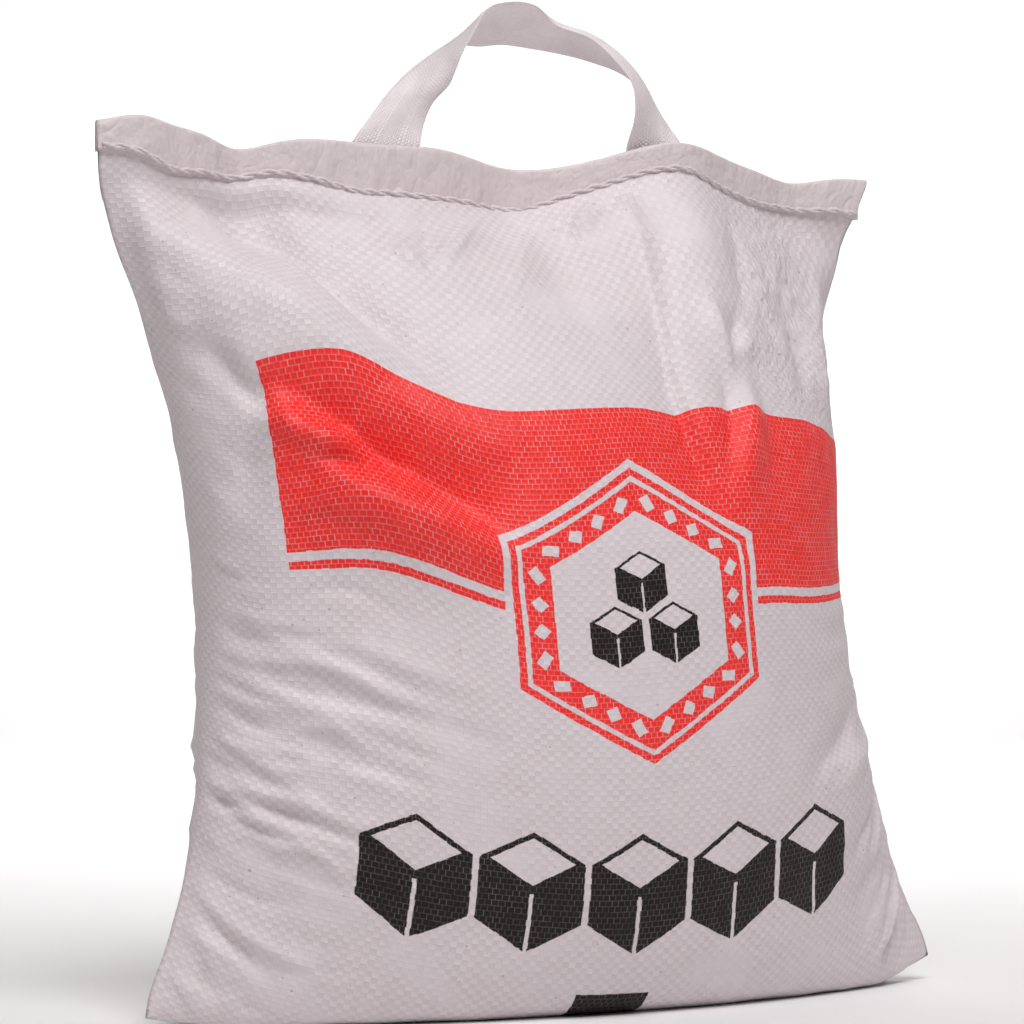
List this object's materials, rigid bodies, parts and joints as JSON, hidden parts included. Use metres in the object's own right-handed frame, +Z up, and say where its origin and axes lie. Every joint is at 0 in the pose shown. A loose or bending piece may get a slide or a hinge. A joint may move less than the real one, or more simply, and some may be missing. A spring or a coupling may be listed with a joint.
{
  "type": "bag of sugar",
  "caption": "Filled woven plastic sack of sugar that stands on its base, with a folded and stitched top hem and a webbing carry handle.",
  "frame": {"origin": "on the floor, under the middle of the whole sack with its handle", "axes": "+Z up, the printed front faces -Y, +X to the right seen from the front"},
  "size_m": [0.3144, 0.145, 0.3483],
  "materials": {
    "cloth": "white woven polypropylene tape, laminated, semi-gloss, printed in red and black",
    "hem": "smooth side of the folded cloth, greyish white, semi-gloss",
    "thread": "white chain-stitched polyester thread, matt",
    "webbing": "white woven webbing with a fine rib, matt"
  },
  "bodies": {
    "root": {"sack": "cloth", "top_hem": "hem", "front_stitch": "thread", "back_stitch": "thread", "handle": "webbing", "bottom_hem": "hem"}
  },
  "joints": []
}
